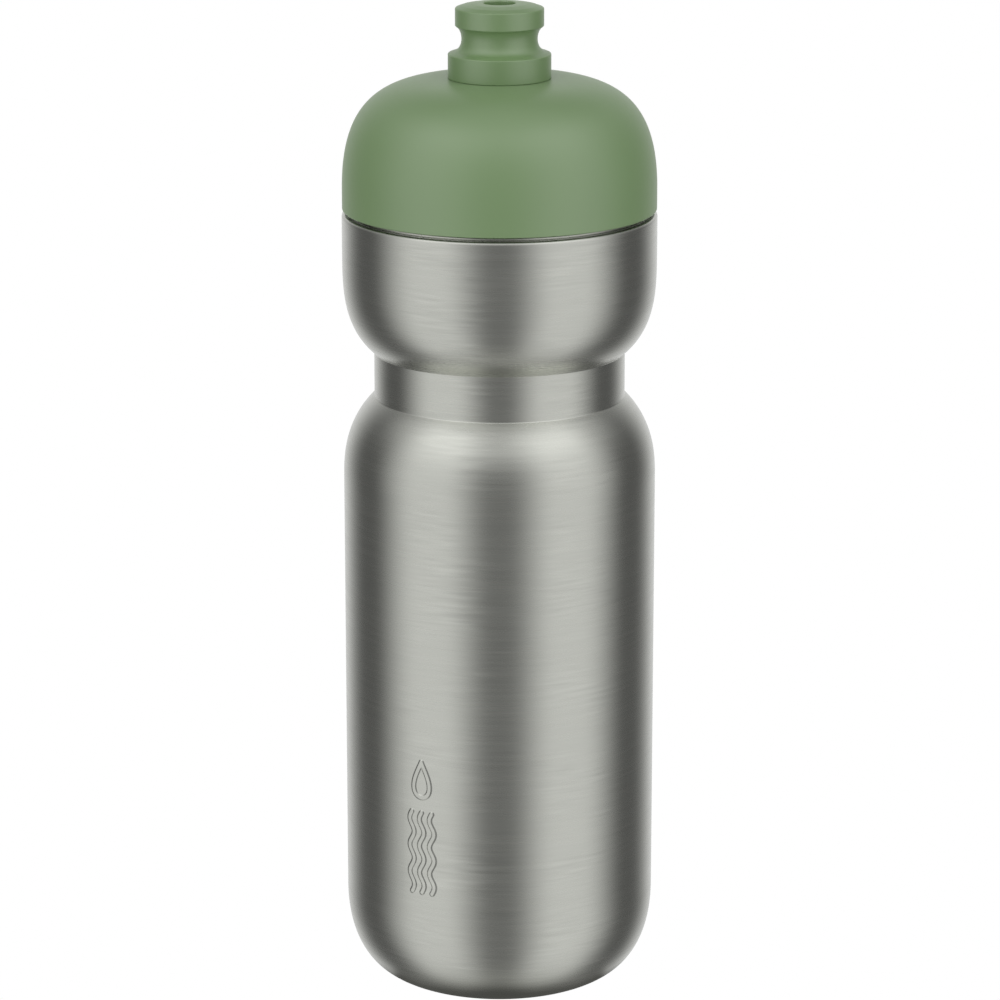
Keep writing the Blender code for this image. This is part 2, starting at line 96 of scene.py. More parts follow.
# Threads
THREAD_LEAD, THREAD_TURNS, THREAD_RUN_OUT = 4.0, 2.25, 0.07  # run-out in turns
THREAD_DEPTH, THREAD_HALF_WIDTH = 0.9, 1.05
THREAD_ROW = 0.19  # height of a mesh row on a threaded wall
NECK_R = 27.5
NECK_THREAD_Z = 191.6
CAP_THREAD_R = 29.0
CAP_THREAD_Z = NECK_THREAD_Z - 1.75

# Cap
DOME_R, RIM_Z, DOME_SIDE_Z = dome_high.x, dome_low.z, 194.0
CROWN_R, CROWN_Z = 12.15, 220.15
CROWN_PULL, SIDE_PULL = 17.0, 19.4  # handles of the dome's curve
DOME_WALL = 2.3
COLLAR_IN, COLLAR_OUT, COLLAR_TOP = 8.9, 10.4, dome_high.z
WEB_LOW, WEB_HIGH = 205.0, 206.6
SKIRT_LOW, FLANGE_R = insert_low.z, insert_high.x
PIN_R = 2.2
VENT_AT = ((vent_low.x + vent_high.x) / 2, (vent_low.y + vent_high.y) / 2)

# Spout
SPOUT_TOP, SPOUT_RING_R = spout_high.z, spout_high.x
SPOUT_RING_Z = CROWN_Z + 0.04
MOUTH_R, BITE_R = 3.72, 10.4


# ------------------------------------------------------------------ outlines
def superellipse(centre, half, power, count, start=0.0, end=math.pi / 2):
    angles = np.linspace(start, end, count)
    across, up = np.clip(np.cos(angles), 0, 1), np.clip(np.sin(angles), 0, 1)
    return [
        (centre[0] + half[0] * a ** (2.0 / power), centre[1] + half[1] * b ** (2.0 / power))
        for a, b in zip(across, up)
    ]


def even(points, step):
    """The same path with points at about equal spacing, ends kept."""
    path = np.array(points, float)
    along = np.r_[0, np.cumsum(np.hypot(*np.diff(path, axis=0).T))]
    count = max(2, int(round(along[-1] / step)) + 1)
    stations = np.linspace(0, along[-1], count)
    columns = [np.interp(stations, along, path[:, k]) for k in range(2)]
    return [(float(a), float(b)) for a, b in zip(*columns)]


def cubic(p0, p1, p2, p3, count):
    """A Bezier curve with ends p0, p3 and handles p1, p2."""
    t = np.linspace(0, 1, count)[:, None]
    p0, p1, p2, p3 = (np.array(p, float) for p in (p0, p1, p2, p3))
    curve = (1 - t) ** 3 * p0 + 3 * (1 - t) ** 2 * t * p1 + 3 * (1 - t) * t**2 * p2 + t**3 * p3
    return [tuple(point) for point in curve]


def rounded(points, closed=False, steps=6):
    """Corners with a third number become arcs of that radius, with a support
    point on each side so that the flats stay flat when shaded smooth."""
    out, count = [], len(points)
    for i, point in enumerate(points):
        radius = point[2] if len(point) > 2 else 0.0
        corner = np.array(point[:2], float)
        if radius <= 0 or (not closed and i in (0, count - 1)):
            out.append(tuple(corner))
            continue
        back = np.array(points[i - 1][:2], float) - corner
        ahead = np.array(points[(i + 1) % count][:2], float) - corner
        back_length, ahead_length = np.hypot(*back), np.hypot(*ahead)
        back, ahead = back / back_length, ahead / ahead_length
        angle = math.acos(float(np.clip(back @ ahead, -1, 1)))
        if angle > math.pi - 0.03:  # nearly straight
            out.append(tuple(corner))
            continue
        reach = min(radius / math.tan(angle / 2), 0.42 * back_length, 0.42 * ahead_length)
        radius = reach * math.tan(angle / 2)
        middle = (back + ahead) / np.hypot(*(back + ahead))
        centre = corner + middle * radius / math.sin(angle / 2)
        start, end = corner + back * reach - centre, corner + ahead * reach - centre
        first = math.atan2(start[1], start[0])
        turn = (math.atan2(end[1], end[0]) - first + math.pi) % TAU - math.pi
        if back_length > 2.6 * reach:
            out.append(tuple(corner + back * reach * 1.5))
        for k in range(steps + 1):
            a = first + turn * k / steps
            out.append((centre[0] + radius * math.cos(a), centre[1] + radius * math.sin(a)))
        if ahead_length > 2.6 * reach:
            out.append(tuple(corner + ahead * reach * 1.5))
    return out


def offset_path(points, distance, step):
    """The path moved to its right-hand side, without the loops an offset makes
    at tight corners."""
    path = np.array(even(points, 0.25), float)
    heading = np.gradient(path, axis=0)
    heading /= np.hypot(heading[:, 0], heading[:, 1])[:, None]
    moved = path + np.c_[heading[:, 1], -heading[:, 0]] * distance
    # a point of a loop lies nearer the path than the offset
    keep = [np.hypot(*(path - point).T).min() > distance * 0.985 for point in moved]
    return even(moved[np.array(keep)], step)


# ------------------------------------------------------------------ meshes
def add_object(name, mesh):
    obj = bpy.data.objects.new(name, mesh)
    bpy.context.scene.collection.objects.link(obj)
    return obj


def add_bmesh(name, bm):
    mesh = bpy.data.meshes.new(name)
    bm.to_mesh(mesh)
    bm.free()
    return add_object(name, mesh)


def lathe(name, profile, sides, closed=True, centre=(0.0, 0.0)):
    """A turned piece. A closed profile joins its last point to its first; an
    open one starts and ends on the axis."""
    angles = np.arange(sides) * TAU / sides
    rows, verts = [], []
    for radius, z in profile:
        start = len(verts)
        if radius < 1e-6:
            rows.append([start])
            verts.append((centre[0] * MM, centre[1] * MM, z * MM))
            continue
        rows.append(list(range(start, start + sides)))
        for a in angles:
            x, y = centre[0] + radius * math.cos(a), centre[1] + radius * math.sin(a)
            verts.append((x * MM, y * MM, z * MM))
    pairs = list(zip(rows, rows[1:]))
    if closed:
        pairs.append((rows[-1], rows[0]))
    faces = []
    for a, b in pairs:
        for j in range(sides):
            k = (j + 1) % sides
            if len(a) == 1:
                faces.append((a[0], b[k], b[j]))
            elif len(b) == 1:
                faces.append((a[j], a[k], b[0]))
            else:
                faces.append((a[j], a[k], b[k], b[j]))
    mesh = bpy.data.meshes.new(name)
    mesh.from_pydata(verts, [], faces)
    mesh.validate()
    bm = bmesh.new()
    bm.from_mesh(mesh)
    if bm.calc_volume(signed=True) < 0:
        bmesh.ops.reverse_faces(bm, faces=bm.faces)
    bm.to_mesh(mesh)
    bm.free()
    mesh.shade_smooth()
    return add_object(name, mesh)


def cut(obj, tools):
    """Cuts the tools out of a piece, then removes them."""
    for tool in tools:
        mod = obj.modifiers.new("cut", "BOOLEAN")
        mod.operation = "DIFFERENCE"
        mod.solver = "EXACT"
        mod.object = tool
    bpy.context.view_layer.update()
    graph = bpy.context.evaluated_depsgraph_get()
    mesh = bpy.data.meshes.new_from_object(obj.evaluated_get(graph))
    obj.modifiers.clear()
    uncut = obj.data
    obj.data = mesh
    bpy.data.meshes.remove(uncut)
    for tool in tools:
        bpy.data.objects.remove(tool, do_unlink=True)
    obj.data.shade_smooth()
    obj.data.set_sharp_from_angle(angle=math.radians(38))


def slot_tool(name, size, centre, turn, bevel):
    """A box with rounded edges, turned about Z."""
    bm = bmesh.new()
    bmesh.ops.create_cube(bm, size=1.0)
    for v in bm.verts:
        v.co = Vector((v.co.x * size[0], v.co.y * size[1], v.co.z * size[2])) * MM
    bmesh.ops.bevel(
        bm, geom=list(bm.edges), offset=bevel * MM, segments=4, profile=0.5, affect="EDGES"
    )
    cos, sin = math.cos(turn), math.sin(turn)
    for v in bm.verts:
        x, y, z = v.co + Vector(centre) * MM
        v.co = (x * cos - y * sin, x * sin + y * cos, z)
    return add_bmesh(name, bm)


def drill_tool(name, radius, at, sides):
    """A cylinder right through the cap's web."""
    low, high = WEB_LOW - 1, WEB_HIGH + 1
    bm = bmesh.new()
    bmesh.ops.create_cone(
        bm, cap_ends=True, segments=sides,
        radius1=radius * MM, radius2=radius * MM, depth=(high - low) * MM,
    )
    middle = Vector((at[0] * MM, at[1] * MM, (low + high) / 2 * MM))
    bmesh.ops.translate(bm, vec=middle, verts=bm.verts)
    return add_bmesh(name, bm)


def smooth(t):
    return t * t * (3 - 2 * t)


def thread_rise(z, angle, start):
    """How far a right-hand thread stands out, 0 to 1, with run-out at its ends."""
    rise = 0.0
    for turn in range(-1, int(THREAD_TURNS) + 2):
        along = angle / TAU + turn
        to_end = min(along, THREAD_TURNS - along)
        fade = smooth(min(max(to_end / THREAD_RUN_OUT, 0.0), 1.0))
        gap = abs(z - (start + THREAD_LEAD * along)) / THREAD_HALF_WIDTH
        if gap < 1.0:
            rise = max(rise, math.cos(gap * math.pi / 2) ** 1.2 * fade)
    return rise


def add_thread(obj, wall_r, low, high, start, depth):
    """Moves the wall at wall_r out by depth, or in if negative, along a thread."""
    for v in obj.data.vertices:
        x, y, z = v.co / MM
        r = math.hypot(x, y)
        if abs(r - wall_r) < 0.05 and low < z < high:
            a = math.atan2(y, x) % TAU
            r += depth * thread_rise(z, a, start)
            v.co = (r * math.cos(a) * MM, r * math.sin(a) * MM, z * MM)
    obj.data.update()


# ------------------------------------------------------------------ steel pieces
def waist_angle(power):
    """Where a superellipse as wide as the body meets the waist."""
    return math.acos((WAIST_R / BODY_R) ** (power / 2))


def body_profile():
    # the ledge under the cap, a narrow channel, and the rolled lip outside it
    channel_r, channel_z = LEDGE_R + CHANNEL_WIDTH, LIP_Z - CHANNEL_DEPTH
    outer = rounded(
        [
            (LEDGE_IN_R, LEDGE_Z), (LEDGE_R, LEDGE_Z, 0.08),
            (LEDGE_R, channel_z, 0.1), (channel_r, channel_z, 0.1),
            (channel_r, LIP_Z, 0.12), (BODY_R, LIP_Z, LIP_RADIUS), (BODY_R, LIP_Z - 3.0),
        ],
        steps=10,
    )
    bulge = even(
        superellipse(
            (0.0, BULGE_Z), (BODY_R, -BULGE_DROP), BULGE_POWER, 400,
            end=waist_angle(BULGE_POWER),
        ),
        0.8,
    )
    shoulder = even(
        superellipse(
            (0.0, SHOULDER_Z), (BODY_R, SHOULDER_RISE), SHOULDER_POWER, 400,
            start=waist_angle(SHOULDER_POWER), end=0.0,
        ),
        0.8,
    )
    groove = rounded(
        [
            bulge[-2], (WAIST_R, bulge[-1][1], 0.38),
            (WAIST_R, shoulder[0][1], 0.45), shoulder[1],
        ]
    )
    outer += bulge[:-1] + groove[1:-1] + shoulder[1:]
    outer += [(BODY_R, z) for z in SIDE_ROWS]
    # rows 1 mm apart where the motif needs a fine grid
    outer += [(BODY_R, z) for z in np.arange(PATCH_HIGH, PATCH_LOW - 0.5, -1.0)]
    heel = superellipse((FOOT_R, HEEL_H), (BODY_R - FOOT_R, -HEEL_H), HEEL_POWER, 600)
    outer += even(heel, 0.9)
    outer += rounded(
        [
            (FOOT_R, 0.0), (FOOT_IN_R - 0.35, 0.0, 0.5),
            (RECESS_R, 0.75, 0.5), (RECESS_R, RECESS_H),
        ]
    )[1:]
    inner = offset_path(outer, SHEET, 2.2)
    inner[0] = (LEDGE_IN_R, LEDGE_Z - SHEET)
    inner[-1] = (RECESS_R + SHEET, RECESS_H)
    return outer + inner[::-1]


def stroke_distance(u, v, a, b):
    """Distance to the straight line from a to b."""
    du, dv = b[0] - a[0], b[1] - a[1]
    h = np.clip(((u - a[0]) * du + (v - a[1]) * dv) / (du * du + dv * dv), 0, 1)
    return np.hypot(u - a[0] - du * h, v - a[1] - dv * h)


def motif_distance(u, v):
    """Distance to the centre lines of a drop over running water. u is across
    and v is up, in millimetres."""
    # three waves, drawn up the body
    low, high, spacing, swing, wavelength = 30.0, 50.0, 2.7, 0.62, 6.67
    up = np.linspace(low, high, 41)
    wave = swing * np.sin((up - low) / wavelength * TAU)
    paths = [list(zip(shift + wave, up)) for shift in (-spacing, 0.0, spacing)]
    # the drop's outline: a circle drawn out to a point
    t = np.linspace(0, TAU, 49)
    half_width, half_height, middle = 2.95, 4.4, 58.2
    across = half_width * np.sin(t) * np.sin(t / 2) ** 1.35
    paths.append(list(zip(across, middle + half_height * np.cos(t))))
    best = np.full(u.shape, 99.0)
    for path in paths:
        for a, b in zip(path, path[1:]):
            best = np.minimum(best, stroke_distance(u, v, a, b))
    return best


def in_patch(point, margin=0.0, end_margin=0.0):
    """Whether a point lies on the outer wall of the motif's patch. The margin
    is in radians at the sides and in millimetres at the ends."""
    x, y, z = point
    return (
        PATCH_LEFT - margin < math.atan2(x, -y) < PATCH_RIGHT + margin
        and PATCH_LOW - end_margin < z < PATCH_HIGH + end_margin
        and math.hypot(x, y) > BODY_R - 0.3
    )


def raise_motif(obj):
    bm = bmesh.new()
    bm.from_mesh(obj.data)
    chosen = [f for f in bm.faces if in_patch(f.calc_center_median() / MM)]
    edges = list({e for f in chosen for e in f.edges})
    bmesh.ops.subdivide_edges(bm, edges=edges, cuts=7, use_grid_fill=True)
    verts = [v for v in bm.verts if in_patch(v.co / MM, margin=0.06, end_margin=0.01)]
    places = [v.co / MM for v in verts]
    azimuth = np.array([math.atan2(x, -y) for x, y, _ in places])
    z = np.array([place[2] for place in places])
    distance = motif_distance((azimuth - MOTIF_AZIMUTH) * BODY_R, z)
    inside = np.clip((MOTIF_STROKE + MOTIF_EDGE - distance) / (2 * MOTIF_EDGE), 0, 1)
    radii = (BODY_R + MOTIF_HEIGHT * smooth(inside)) * MM
    for v, r, a, height in zip(verts, radii, azimuth, z):
        v.co = (r * math.sin(a), -r * math.cos(a), height * MM)
    bm.to_mesh(obj.data)
    bm.free()
    obj.data.shade_smooth()


def bottle_body():
    obj = lathe("bottle_body", body_profile(), 256)
    raise_motif(obj)
    return obj


def base_pan():
    """Pressed pan in the recess under the foot."""
    pan_r = RECESS_R - 0.3
    outline = [
        (0.0, 2.5), (6.0, 2.55), (6.8, 3.0, 0.5), (10.0, 3.0, 0.5), (10.8, 2.75, 0.5),
        (15.2, 3.15, 0.9), (pan_r, 2.9, 0.9), (pan_r, 0.9), (pan_r - SHEET, 0.9),
        (pan_r - SHEET, 2.3, 0.5), (15.0, 2.5, 0.5), (10.8, 2.15, 0.5), (10.0, 2.4, 0.4),
        (6.8, 2.4, 0.4), (6.0, 1.95), (0.0, 1.9),
    ]
    return lathe("base_pan", rounded(outline), 160, closed=False)


def threaded_neck():
    bore_r, top, foot = NECK_R - 1.3, neck_high.z, neck_low.z
    wall = [(NECK_R, z) for z in np.arange(top - 1.2, foot + 1.9, -THREAD_ROW)]
    rim = [(bore_r, top - 3.0), (bore_r, top, 0.5), (NECK_R, top, 0.5), (NECK_R, top - 1.3)]
    flange = [
        wall[-1], (NECK_R, foot + 0.6, 0.8), (neck_high.x, foot + 0.6, 0.15),
        (neck_high.x, foot), (bore_r, foot, 0.6), (bore_r, foot + 3.0),
    ]
    obj = lathe("threaded_neck", rounded(rim) + wall + rounded(flange)[1:], 224)
    add_thread(obj, NECK_R, foot + 1.8, top - 1.1, NECK_THREAD_Z, THREAD_DEPTH)
    return obj


# ------------------------------------------------------------------ cap pieces
def dome_cap():
    crown = cubic(
        (CROWN_R, CROWN_Z), (CROWN_R + CROWN_PULL, CROWN_Z),
        (DOME_R, DOME_SIDE_Z + SIDE_PULL), (DOME_R, DOME_SIDE_Z), 400,
    )
    crown = even(crown, 0.6)
    collar = [
        (COLLAR_IN, CROWN_Z - 1.0), (COLLAR_IN, COLLAR_TOP, 0.35),
        (COLLAR_OUT, COLLAR_TOP, 0.45), (COLLAR_OUT, CROWN_Z, 0.25), (CROWN_R, CROWN_Z),
    ]
    rim = [
        (DOME_R, 193.6), (DOME_R, RIM_Z, 0.28),
        (DOME_R - DOME_WALL, RIM_Z, 0.3), (DOME_R - DOME_WALL, DOME_SIDE_Z),
    ]
    inside = offset_path(crown, DOME_WALL, 1.6)
    inside[0] = (COLLAR_IN + 2.0, CROWN_Z - DOME_WALL)
    profile = rounded(collar)[1:-1] + crown + rounded(rim)
    profile += inside[::-1][1:] + [(COLLAR_IN, CROWN_Z - DOME_WALL)]
    return lathe("dome_cap", profile, 256)


def cap_liner():
    """Threaded insert with a web across it, holes and flange slots."""
    bore = [
        (CAP_THREAD_R, z) for z in np.arange(SKIRT_LOW + 0.7, WEB_LOW - 0.8, THREAD_ROW)
    ]
    outside = [
        (9.0, WEB_HIGH + 2.0), (9.0, insert_high.z, 0.3), (10.4, insert_high.z, 0.3),
        (10.4, WEB_HIGH, 0.7), (30.8, WEB_HIGH, 0.9), (30.8, SKIRT_LOW + 1.2, 0.5),
        (FLANGE_R, SKIRT_LOW + 1.2, 0.25), (FLANGE_R, SKIRT_LOW, 0.25),
        (CAP_THREAD_R, SKIRT_LOW, 0.45), bore[0],
    ]
    web = [
        bore[-1], (CAP_THREAD_R, WEB_LOW, 0.4), (8.2, WEB_LOW, 0.2), (8.2, WEB_HIGH, 0.15),
        (9.0, WEB_HIGH, 0.15), (9.0, WEB_HIGH + 2.0),
    ]
    obj = lathe("cap_liner", rounded(outside) + bore[1:] + rounded(web)[1:-1], 224)
    add_thread(
        obj, CAP_THREAD_R, SKIRT_LOW + 0.5, WEB_LOW - 0.6, CAP_THREAD_Z, -THREAD_DEPTH
    )
    tools = [drill_tool("hole_0", 1.6, VENT_AT, 40)]
    pitch_r = 3.1  # of the small holes round the valve's hole
    for i in range(3):
        a = math.radians(90 + 120 * i)
        at = (VENT_AT[0] + pitch_r * math.cos(a), VENT_AT[1] + pitch_r * math.sin(a))
        tools.append(drill_tool(f"hole_{i + 1}", 0.7, at, 24))
    for i in range(3):
        tools.append(
            slot_tool(
                f"slot_{i + 1}", size=(2.4, 5.0, 3.0), centre=(FLANGE_R, 0.0, SKIRT_LOW + 0.6),
                turn=math.radians(20 + 120 * i), bevel=0.4,
            )
        )
    cut(obj, tools)
    return obj


def rim_gasket():
    """Flat ring with a shallow groove underneath."""
    inner_r, outer_r, top, foot = 26.2, gasket_high.x, gasket_high.z, gasket_low.z
    outline = [
        (inner_r, top, 0.3), (outer_r, top, 0.3), (outer_r, foot, 0.3),
        (27.9, foot, 0.15), (27.6, foot + 0.18, 0.15), (27.0, foot + 0.18, 0.15),
        (26.7, foot, 0.15), (inner_r, foot, 0.3),
    ]
    return lathe("rim_gasket", rounded(outline, closed=True), 192)


def drink_valve_post():
    """Hollow post with flow windows."""
    stem, bore, stop_r, top, foot = 5.6, 4.2, 6.3, post_high.z, post_low.z
    outline = [
        (0.0, top), (PIN_R, top, 0.4), (PIN_R, 230.2, 0.3), (3.6, 229.6, 0.6),
        (stem, 228.2, 0.8), (stem, 219.9, 0.2), (stop_r, 219.5, 0.2),
        (stop_r, 218.4, 0.15), (stem, 218.2, 0.1), (stem, WEB_HIGH + 0.3, 0.4),
        (7.9, WEB_HIGH + 0.3, 0.25), (7.9, WEB_LOW - 0.3, 0.2), (11.5, WEB_LOW - 0.3, 0.3),
        (11.5, foot, 0.35), (bore, foot, 0.7), (bore, 226.8, 0.5), (0.0, 227.8),
    ]
    obj = lathe("drink_valve_post", rounded(outline), 128, closed=False)
    windows = [
        slot_tool(
            f"window_{i}", size=(16.0, 3.6, 5.2), centre=(0.0, 0.0, 223.4),
            turn=math.radians(45 + 90 * i), bevel=0.6,
        )
        for i in range(2)
    ]
    cut(obj, windows)
    return obj


def post_plug():
    """Soft cap over the pin of the post."""
    top, foot, hole_r, hole_top = plug_high.z, plug_low.z, PIN_R + 0.3, 235.2
    outline = [
        (0.0, top - 0.22), (1.1, top - 0.2), (2.2, top - 0.02, 0.5), (3.0, top - 0.15, 0.5),
        (plug_high.x, top - 0.9, 0.7), (plug_high.x, foot, 0.4),
        (hole_r, foot, 0.12), (hole_r, hole_top, 0.3), (0.0, hole_top),
    ]
    return lathe("post_plug", rounded(outline), 128, closed=False)


def air_valve():
    """Mushroom valve through the liner's web."""
    outline = [
        (0.0, vent_high.z), (0.9, vent_high.z - 0.15, 0.5), (2.1, 207.4, 0.4),
        (2.1, WEB_HIGH + 0.3, 0.2), (1.3, WEB_HIGH + 0.3, 0.15), (1.3, WEB_LOW - 0.3, 0.2),
        (4.9, WEB_LOW - 0.3, 0.12), (4.9, WEB_LOW - 0.65, 0.12), (2.4, WEB_LOW - 1.1, 0.8),
        (0.9, WEB_LOW - 1.4, 0.6), (0.0, vent_low.z),
    ]
    return lathe("air_valve", rounded(outline), 96, closed=False, centre=VENT_AT)


# ------------------------------------------------------------------ spout pieces
def drink_spout():
    waist = cubic((9.75, 231.95), (8.45, 230.4), (8.55, 227.0), (10.75, 226.35), 30)
    head = [
        (MOUTH_R, 235.0), (MOUTH_R, SPOUT_TOP, 0.35), (6.4, SPOUT_TOP - 0.14, 1.5),
        (8.7, SPOUT_TOP - 0.55, 1.5), (BITE_R, SPOUT_TOP - 1.15, 0.4), (BITE_R, 232.45, 0.3),
        waist[0],
    ]
    # the ring over the crown, then the sleeve with its seal groove and the bore
    sleeve = [
        waist[-1], (SPOUT_RING_R, 225.88, 0.3), (SPOUT_RING_R, SPOUT_RING_Z, 0.15),
        (10.75, SPOUT_RING_Z, 0.2), (10.75, COLLAR_TOP + 0.4, 0.3),
        (8.6, COLLAR_TOP + 0.4, 0.3), (8.6, 210.2, 0.12), (7.0, 210.2, 0.15),
        (7.0, 208.2, 0.15), (8.6, 208.2, 0.12), (8.6, spout_low.z, 0.35),
        (5.9, spout_low.z, 0.3), (5.9, 211.0, 0.3), (6.6, 211.4, 0.3), (6.6, 231.4, 0.6),
        (MOUTH_R, 234.0, 0.5), (MOUTH_R, 235.0),
    ]
    return lathe("drink_spout", rounded(head) + waist[1:-1] + rounded(sleeve)[:-1], 256)


def sleeve_seal():
    middle = (ring_low.z + ring_high.z) / 2
    thick = (ring_high.z - ring_low.z) / 2
    major = ring_high.x - thick
    circle = [
        (major + thick * math.cos(a), middle + thick * math.sin(a))
        for a in np.linspace(0, TAU, 25)[:-1]
    ]
    return lathe("sleeve_seal", circle, 128)


# ------------------------------------------------------------------ node helpers
class Nodes:
    """Short calls for building a node tree."""

    def __init__(self, tree):
        self.tree = tree
        tree.nodes.clear()

    def new(self, kind, inputs=None, **settings):
        node = self.tree.nodes.new("ShaderNode" + kind)
        for key, value in settings.items():
            setattr(node, key, value)
        for key, value in (inputs or {}).items():
            if isinstance(value, bpy.types.NodeSocket):
                self.tree.links.new(value, node.inputs[key])
            else:
                node.inputs[key].default_value = value
        return node

    def out(self, kind, inputs=None, **settings):
        """The first output of a new node."""
        return self.new(kind, inputs, **settings).outputs[0]

    def math(self, operation, a, b=0.0):
        return self.out("Math", {0: a, 1: b, 2: 0.0}, operation=operation)

    def vector(self, operation, a, key=1, value=None):
        """Vector maths on a and, if given, a second input named by key."""
        inputs = {0: a} if value is None else {0: a, key: value}
        return self.out("VectorMath", inputs, operation=operation)

    def centred(self, value, by):
        """A 0 to 1 value made to swing about zero, times by."""
        return self.math("MULTIPLY", self.math("SUBTRACT", value, 0.5), by)

    def weighted(self, *terms):
        """The sum of (value, weight) terms."""
        parts = [self.math("MULTIPLY", value, weight) for value, weight in terms]
        total = parts[0]
        for part in parts[1:]:
            total = self.math("ADD", total, part)
        return total

    def noise(self, vector, grain, detail=2.0, rough=0.5, distortion=0.0):
        """Noise with a number of cells per metre for each axis."""
        inputs = {
            "Vector": self.vector("MULTIPLY", vector, value=grain), "Scale": 1.0,
            "Detail": detail, "Roughness": rough, "Distortion": distortion,
        }
        return self.new("TexNoise", inputs).outputs["Fac"]

    def spread(self, value, span, to, kind="LINEAR"):
        """Maps the span of values to another."""
        inputs = dict(enumerate((value, *span, *to)))
        return self.out("MapRange", inputs, interpolation_type=kind)

    def blend(self, factor, a, b):
        node = self.new("Mix", {0: factor, 6: a, 7: b}, data_type="RGBA")
        return node.outputs[2]

    def ramp(self, value, stops):
        """An eased curve through (position, level) stops."""
        node = self.new("ValToRGB", {0: value})
        ramp = node.color_ramp
        ramp.interpolation = "EASE"
        while len(ramp.elements) < len(stops):
            ramp.elements.new(0.5)
        for element, (at, level) in zip(ramp.elements, stops):
            element.position = at
            element.color = (level, level, level, 1.0)
        return node.outputs[0]

    def from_front(self, x, y):
        """Angle round Z from -Y, 0 to 1 for 0 to 180 degrees either way."""
        angle = self.math("ARCTAN2", x, self.math("MULTIPLY", y, -1.0))
        return self.math("DIVIDE", self.math("ABSOLUTE", angle), math.pi)

    def place(self):
        return self.new("TexCoord").outputs["Object"]

    def ray(self, kind):
        return self.new("LightPath").outputs[kind]


def new_material(name):
    mat = bpy.data.materials.new(name)
    mat.use_nodes = True
    return mat, Nodes(mat.node_tree)


# ------------------------------------------------------------------ materials
def steel(name, color, rough, aniso, streaks=1.0):
    """Steel brushed round the axis: the reflection is drawn out along the
    height, and fine streaks run round the piece."""
    shade, lean, relief = 0.25 * streaks, 0.03 * streaks, 0.02 * streaks
    mat, n = new_material(name)
    where = n.place()
    # a slight wander, in metres, keeps the strokes from being perfect circles
    wander = n.centred(n.noise(where, grain=(40.0, 40.0, 50.0), detail=1.0), by=0.0005)
    x, y, z = n.new("SeparateXYZ", {0: where}).outputs
    moved = n.out("CombineXYZ", {0: x, 1: y, 2: n.math("ADD", z, wander)})
    main = n.noise(moved, grain=(95.0, 95.0, 1250.0), detail=1.0, rough=0.4)
    fine = n.noise(moved, grain=(150.0, 150.0, 3000.0))
    long_ = n.noise(moved, grain=(45.0, 45.0, 1100.0), detail=1.0)
    broad = n.noise(moved, grain=(60.0, 60.0, 260.0))
    patch = n.noise(where, grain=(70.0, 70.0, 110.0))
    gate = n.spread(patch, span=(0.40, 0.64), to=(0.35, 1.45), kind="SMOOTHSTEP")
    swing = n.centred(n.weighted((main, 0.68), (fine, 0.12), (long_, 0.20)), by=gate)
    # seen at a slant the strokes run together
    slant = n.new("LayerWeight", {"Blend": 0.5}).outputs["Facing"]
    merge = n.spread(slant, span=(0.22, 0.42), to=(1.0, 0.35), kind="SMOOTHSTEP")
    swing = n.math("MULTIPLY", swing, merge)
    level = n.math("ADD", 1.0, n.math("MULTIPLY", swing, shade))
    level = n.math("ADD", level, n.centred(broad, by=0.05))
    # painted reflection: steel seen in other steel (glossy rays) gets a brighter colour, standing
    # in for the many weak bounces in a groove, in one step
    painted_bounce = n.spread(n.ray("Is Glossy Ray"), span=(0.0, 1.0), to=(1.0, 1.55))
    level = n.math("MULTIPLY", level, painted_bounce)
    # each stroke also turns the surface a little, round the axis
    normal = n.new("NewGeometry").outputs["Normal"]
    around = n.vector("CROSS_PRODUCT", normal, value=(0.0, 0.0, 1.0))
    push = n.vector("SCALE", around, "Scale", n.math("MULTIPLY", swing, lean))
    bent = n.vector("NORMALIZE", n.vector("ADD", normal, value=push))
    bump = {"Strength": relief, "Distance": 0.00005, "Height": fine, "Normal": bent}
    bsdf = n.out(
        "BsdfPrincipled",
        {
            "Base Color": n.vector("SCALE", color, "Scale", level),
            "Metallic": 1.0,
            "Roughness": n.math("ADD", rough, n.centred(long_, by=0.08)),
            "Anisotropic": aniso,
            "Anisotropic Rotation": 0.25,
            "Normal": n.out("Bump", bump),
            "Tangent": n.out("Tangent", direction_type="RADIAL", axis="Z"),
        },
    )
    n.new("OutputMaterial", {"Surface": bsdf})
    return mat


def plastic(name, color, rough, grain, mottle=0.03, ior=1.5, sheen=0.0, soft=0.0, gloss=0.5):
    """Satin moulded plastic: a fine spark-eroded grain, faint flow mottling
    and slightly uneven gloss."""
    mat, n = new_material(name)
    where = n.place()
    flow = n.noise(where, grain=(45.0, 45.0, 30.0), detail=3.0, distortion=0.4)
    level = n.spread(flow, span=(0.3, 0.7), to=(1.0 - mottle, 1.0 + mottle))
    fine = n.noise(where, grain=(4200.0, 4200.0, 4200.0), rough=0.6)
    skin = n.noise(where, grain=(900.0, 900.0, 900.0))
    height = n.weighted((fine, 0.6), (skin, 0.4))
    bump = {"Strength": grain, "Distance": 0.00008, "Height": height}
    bsdf = n.out(
        "BsdfPrincipled",
        {
            "Base Color": n.vector("SCALE", color, "Scale", level),
            "Roughness": n.math("ADD", rough, n.centred(skin, by=0.08)),
            "IOR": ior,
            "Specular IOR Level": gloss,
            "Normal": n.out("Bump", bump),
            "Sheen Weight": sheen,
            "Subsurface Weight": soft,
            "Subsurface Scale": 0.002,
        },
    )
    n.new("OutputMaterial", {"Surface": bsdf})
    return mat


# ------------------------------------------------------------------ studio
WHITE = (1.0, 1.0, 1.0, 1.0)

# (angle from the front as a part of 180 degrees, level)
FOOT_SHADOW = [
    (0.0, 0.30), (0.11, 0.50), (0.22, 0.53), (0.30, 0.42),
    (0.37, 0.76), (0.43, 0.84), (0.62, 0.80), (1.0, 0.80),
]
